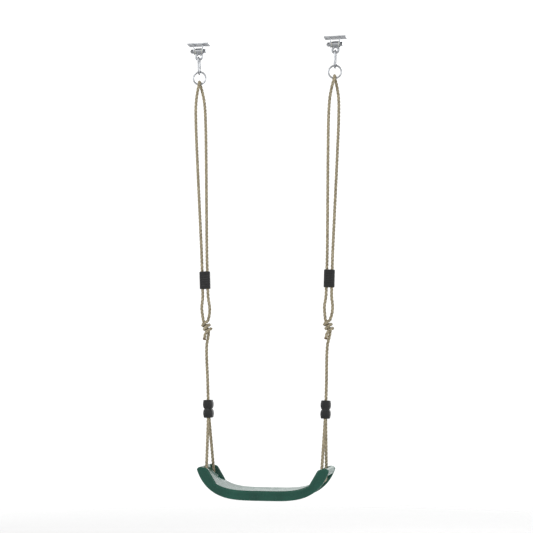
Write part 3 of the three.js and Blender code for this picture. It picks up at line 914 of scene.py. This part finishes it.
def make_eye(label, side, look):
    """The forged eye: a barrel round the bushes and a closed loop below it."""
    matrix = hanger_matrix(side)
    barrel = plug_profile([(9.3, -10.5), (10.0, -9.8), (10.0, 9.8), (9.3, 10.5)])
    piece = new_piece(f"eye_{label}", turned("eye", barrel, 48, matrix), look)
    loop = hoop("loop", -EYE_DROP, EYE_LOOP, lambda angle: EYE_BAR, 64, 20, matrix)
    combine(piece, loop, "UNION")
    forged(piece, 0.55, 6)
    bore = plug_profile([(6.4, -20), (6.4, 20)])
    combine(piece, turned("bore", bore, 48, matrix))
    shade(piece, 45.0)
    settle(piece, "swing_arms", "zinc_steel", f"hanger_eye_{label}")


def make_bracket(label, side, look):
    """The CAD bracket's own outline, cleaned and with its edges broken."""
    node = f"hanger_bracket_{label}"
    mesh = frame["nodes"][node].data.copy()
    work = bmesh.new()
    work.from_mesh(mesh)
    bmesh.ops.remove_doubles(work, verts=work.verts, dist=1e-6)
    bmesh.ops.dissolve_limit(work, angle_limit=math.radians(1.0), verts=work.verts, edges=work.edges)
    work.to_mesh(mesh)
    work.free()
    piece = new_piece(f"bracket_{label}", mesh, look)
    bevelled(piece, 0.55, 3, 40.0)
    settle(piece, "root", "zinc_steel", node)


def hexagon(low, high, matrix):
    """A hexagon along X with its corners chamfered at both ends."""
    flat = HEXAGON / 2
    corner = flat / math.cos(math.pi / 6)
    outline = [(corner * math.cos(angle), corner * math.sin(angle)) for angle in whole_turn(6)]
    blank = new_object("blank", prism("hexagon", outline, low, high, matrix, "X"))
    face, full, chamfer = flat * 0.96, corner + 0.1, 1.0
    cone = plug_profile([(face, low), (full, low + chamfer), (full, high - chamfer), (face, high)])
    return combine(blank, turned("cone", cone, 60, matrix), "INTERSECT")


def finished(blank, name, look):
    """Makes a worked blank into a piece of its own."""
    piece = new_piece(name, blank.data, look, 30.0)
    bpy.data.objects.remove(blank)
    return piece


def make_bolt(label, side, look):
    """Head and shank, with the last threads showing past the nut."""
    matrix = hanger_matrix(side)
    blank = hexagon(BOLT_HEAD, BOLT_HEAD + 5.3, matrix)
    thread = []
    for turn in range(THREADS):
        x = BOLT_TIP + 0.9 + turn * THREAD_PITCH
        thread += [(3.45, x), (3.95, x + 0.45), (3.95, x + 0.65)]
    shank = plug_profile([(2.9, BOLT_TIP), (3.4, BOLT_TIP + 0.6), *thread,
                          (BOLT_RADIUS, thread[-1][1] + 0.6), (BOLT_RADIUS, BOLT_HEAD + 1)])
    combine(blank, turned("shank", shank, 36, matrix), "UNION")
    bolt = finished(blank, f"bolt_{label}", look)
    settle(bolt, "root", "zinc_steel", f"hanger_bolt_{label}")


def make_nut(label, side, look):
    matrix = hanger_matrix(side)
    blank = hexagon(NUT_LOW, NUT_HIGH, matrix)
    bore = plug_profile([(CLEARANCE_BORE, -40), (CLEARANCE_BORE, 0)])
    combine(blank, turned("bore", bore, 36, matrix))
    nut = finished(blank, f"nut_{label}", look)
    settle(nut, "root", "zinc_steel", f"hanger_nut_{label}")


def facing(name, profile, way, side, look):
    """A turned piece on the hanger's bolt, standing to +X or, with way -1, to -X."""
    mesh = turned(name, [(radius, way * x) for radius, x in profile], 48, hanger_matrix(side))
    return new_piece(name, mesh, look, 30.0)


def make_washers(label, side, look):
    """One washer under the bolt's head and one under the nut."""
    inner, outer, edge, low, high = CLEARANCE_BORE, 8.0, 0.3, 17.9, 19.5
    profile = [(inner, low), (outer - edge, low), (outer, low + edge),
               (outer, high - edge), (outer - edge, high), (inner, high)]
    for place, way in (("head", 1), ("nut", -1)):
        washer = facing(f"washer_{place}_{label}", profile, way, side, look)
        settle(washer, "root", "zinc_steel", f"bolt_washer_{place}_{label}")


def make_bushes(label, side, look):
    """Two flanged bushes, one from each end of the eye's barrel."""
    profile = [(CLEARANCE_BORE, 0.2), (5.7, 0.2), (6.0, 0.5), (6.0, 10.9), (10.1, 10.9),
               (10.5, 11.3), (10.5, 12.7), (10.1, 13.1), (CLEARANCE_BORE, 13.1)]
    for letter, way in (("a", 1), ("b", -1)):
        bush = facing(f"bush_{letter}_{label}", profile, way, side, look)
        settle(bush, "root", "bush_nylon", f"hanger_bush_{letter}_{label}")


# ---- seat ----
def belt_top(x):
    """Height of the belt's top over the seat's lowest point."""
    return SEAT_LIP + SEAT_RISE * (abs(x) / SEAT_TOP_HALF) ** SEAT_POWER


def belt_slope(x):
    steepest = SEAT_POWER * SEAT_RISE / SEAT_TOP_HALF
    return math.copysign(steepest * (abs(x) / SEAT_TOP_HALF) ** (SEAT_POWER - 1), x)


def cheek_outline(x):
    """Height of the cheeks' rounded top edge over the seat's lowest point."""
    inner = (CHEEK["shoulder_z"] - belt_top(CHEEK["base"])) / (CHEEK["shoulder"] - CHEEK["base"])
    outer = (CHEEK["tip_z"] - CHEEK["shoulder_z"]) / (CHEEK["tip"] - CHEEK["shoulder"])
    lines = (belt_top(CHEEK["base"]) + inner * (x - CHEEK["base"]),
             CHEEK["shoulder_z"] + outer * (x - CHEEK["shoulder"]),
             CHEEK["tip_z"] - CHEEK_FALL * (x - CHEEK["tip"]))
    return -CHEEK_BLEND * math.log(sum(math.exp(-line / CHEEK_BLEND) for line in lines))


def cheek_height(x):
    """How far the cheek stands out of the belt, square to it."""
    x = abs(x)
    slope = math.atan(belt_slope(x))
    low, high = 0.0, 40.0
    for _ in range(18):
        middle = (low + high) / 2
        inside = belt_top(x) + middle * math.cos(slope) < cheek_outline(x - middle * math.sin(slope))
        low, high = (middle, high) if inside else (low, middle)
    return low if x > CHEEK_START else 0.0


def step_up(value):
    """A smooth step from 0 to 1."""
    value = min(1.0, max(0.0, value))
    return value * value * (3 - 2 * value)


def hole_rim(x, y):
    """The low moulded rim round each rope hole."""
    reach = math.hypot((abs(x) - SEAT_ROPE_X) / (HOLE_LENGTH / 2), (abs(y) - HOLE_OUT) / (HOLE_WIDTH / 2))
    return RIM_HEIGHT * math.exp(-(((reach - RIM_REACH) / RIM_WIDTH) ** 2))


def rib(offset):
    """1 on a rib's flat foot, falling to 0 beside it."""
    return 1 - step_up(abs(offset) - 1.0)


def under_ribs(y, along):
    """Stiffening ribs under the belt: three lengthwise and a row of cross ribs."""
    if abs(along) > RIBS_END + 2:
        return 0.0
    cross = rib(min(abs(along - place) for place in CROSS_RIBS))
    inside = 1.0 if abs(along) < RIBS_END else cross
    lengthwise = max(rib(abs(y) - place) for place in LONG_RIBS) * inside
    return RIB_HEIGHT * max(cross, lengthwise)


def shares(count):
    """Even steps from just past 0 to 1."""
    return [index / count for index in range(1, count + 1)]


def top_points(x, foot, share):
    """The dished top with the holes' rims, from its middle to the cheek's foot."""
    points = []
    for index in range(30):
        y = foot * index / 29
        dish = -DISH * math.cos(math.pi / 2 * y / foot)
        points.append((y, dish * (1 - share**4) + hole_rim(x, y)))
    return points


def wall_points(foot, half, cheek, lip):
    """Up the cheek's inner wall, over its top and down the outer wall to the lower edge."""
    points = [(foot + WALL_LEAN * t, cheek * step_up(t)) for t in shares(6)]
    flat = half - TOP_EDGE - foot - WALL_LEAN
    points += [(foot + WALL_LEAN + flat * t, cheek) for t in shares(3)]
    points += [(half - TOP_EDGE * (1 - math.sin(a)), cheek - TOP_EDGE * (1 - math.cos(a)))
               for a in (math.pi / 2 * t for t in shares(6))]
    low = -lip + LOW_EDGE
    for t in shares(8):
        seam = SEAM * math.exp(-(((t - 0.5) / 0.07) ** 2))
        points.append((half - seam, (cheek - TOP_EDGE) * (1 - t) + low * t))
    points += [(half - LOW_EDGE * (1 - math.cos(a)), low - LOW_EDGE * math.sin(a))
               for a in (math.pi / 2 * t for t in shares(5))]
    return points


def under_points(half, lip, ceiling, along):
    """Up the inside of the skirt and across the ribbed underside to its middle."""
    inner = half - SEAT_SKIRT
    points = [(inner + 1.2, -lip), (inner + 0.3, -lip + min(0.5, (lip - ceiling) * 0.4))]
    points += [(inner - 0.6 * t, -lip + 0.5 * (1 - t) + (lip - ceiling - 1.0) * t) for t in shares(4)]
    points += [(y, -min(ceiling + under_ribs(y, along), lip - 0.6)) for y in (inner - 2, *UNDER_STOPS)]
    return points


def belt_section(x, along, inset):
    """Half a section as (y, height square to the belt), from the middle of the top outwards
    and round to the middle of the underside, drawn in by the rounding of the belt's end."""
    share = abs(x) / SEAT_TOP_HALF
    lip = SEAT_LIP + (SEAT_TIP_LIP - SEAT_LIP) * share**6
    cheek = cheek_height(x)
    half = SEAT_DEPTH / 2
    foot = half - CHEEK_WALL - 1.5
    from_tip = SEAT_TOP_HALF - abs(x)
    ceiling = SEAT_SKIN + (lip - 0.8 - SEAT_SKIN) * step_up((SEAT_END_WALL + 1.5 - from_tip) / 3.0)
    points = [*top_points(x, foot, share), *wall_points(foot, half, cheek, lip),
              *under_points(half, lip, ceiling, along)]
    centre, squeeze, narrow = (cheek - lip) / 2, 1 - 2 * inset / (cheek + lip), 1 - inset / half
    return [(y * narrow, centre + (normal - centre) * squeeze) for y, normal in points]


def make_belt_path():
    """Distances along the belt's top from its middle, one for each small step in x."""
    path = [0.0]
    for index in range(BELT_STEPS):
        x = SEAT_TOP_HALF * (index + 0.5) / BELT_STEPS
        path.append(path[-1] + SEAT_TOP_HALF / BELT_STEPS * math.hypot(1, belt_slope(x)))
    return path


def place_on_belt(path, along):
    """The x of a point this far along the belt."""
    distance = min(abs(along), path[-1])
    index = max(1, next(i for i, value in enumerate(path) if value >= distance))
    share = (distance - path[index - 1]) / (path[index] - path[index - 1])
    return math.copysign(SEAT_TOP_HALF * (index - 1 + share) / BELT_STEPS, along)


def belt_stations(half_length):
    """Where the sections stand: evenly along, with more at the ribs and round the end."""
    inside = half_length - TIP_ROUND
    half = [inside * i / 120 for i in range(121)]
    half += [half_length - TIP_ROUND * (1 - math.cos(math.pi / 2 * i / 6)) for i in range(1, 6)]
    half += [place + step for place in CROSS_RIBS if place > 0 for step in (-2, -1, 1, 2)]
    half = sorted({round(stop, 3) for stop in half} | {half_length})
    return [-stop for stop in reversed(half[1:])] + half


def belt_ring(x, section):
    """A whole section, front and back, stood square on the belt's curve."""
    slope = math.atan(belt_slope(x))
    ring = []
    for sign, points in ((1, section), (-1, section[-2:0:-1])):
        for y, normal in points:
            ring.append(Vector((x - normal * math.sin(slope), sign * y,
                                SEAT_BOTTOM + belt_top(x) + normal * math.cos(slope))) * MM)
    return ring


def make_seat(look):
    """The moulded belt with its four oval rope holes."""
    path = make_belt_path()
    rings = []
    for stop in belt_stations(path[-1]):
        x = place_on_belt(path, stop)
        past_round = max(0.0, TIP_ROUND - (path[-1] - abs(stop)))
        inset = TIP_ROUND - math.sqrt(TIP_ROUND**2 - past_round**2)
        rings.append(belt_ring(x, belt_section(x, stop, inset)))
    piece = new_piece("belt", skin("belt", rings, bridged=True), look, 50.0)
    oval = rounded_box(HOLE_LENGTH / 2, HOLE_WIDTH / 2, HOLE_WIDTH / 2 - 0.05, 9)
    for side in (-1, 1):
        for edge in (-1, 1):
            centre = Vector((side * SEAT_ROPE_X, edge * HOLE_OUT, SEAT_BOTTOM + belt_top(SEAT_ROPE_X)))
            place = Matrix.Translation(centre * MM) @ Matrix.Scale(MM, 4)
            combine(piece, prism("hole", oval, -34, 34, place))
    shade(piece, 50.0)
    settle(piece, "seat", "seat_plastic", "seat_belt")


# ---- everything ----
make_camera()
make_stage()
green, beige, black = seat_material(), rope_material(), black_material()
zinc, nylon, melted = zinc_material(), nylon_material(), seal_material()
make_seat(green)
black_makers = (make_adjuster, make_ferrule)
steel_makers = (make_ring, make_hook, make_gate, make_rivet, make_spring, make_eye, make_bracket,
                make_bolt, make_nut, make_washers)
for label, side in SIDES.items():
    make_rope(label, side, beige, melted)
    for make in black_makers:
        make(label, side, black)
    for make in steel_makers:
        make(label, side, zinc)
    make_bushes(label, side, nylon)
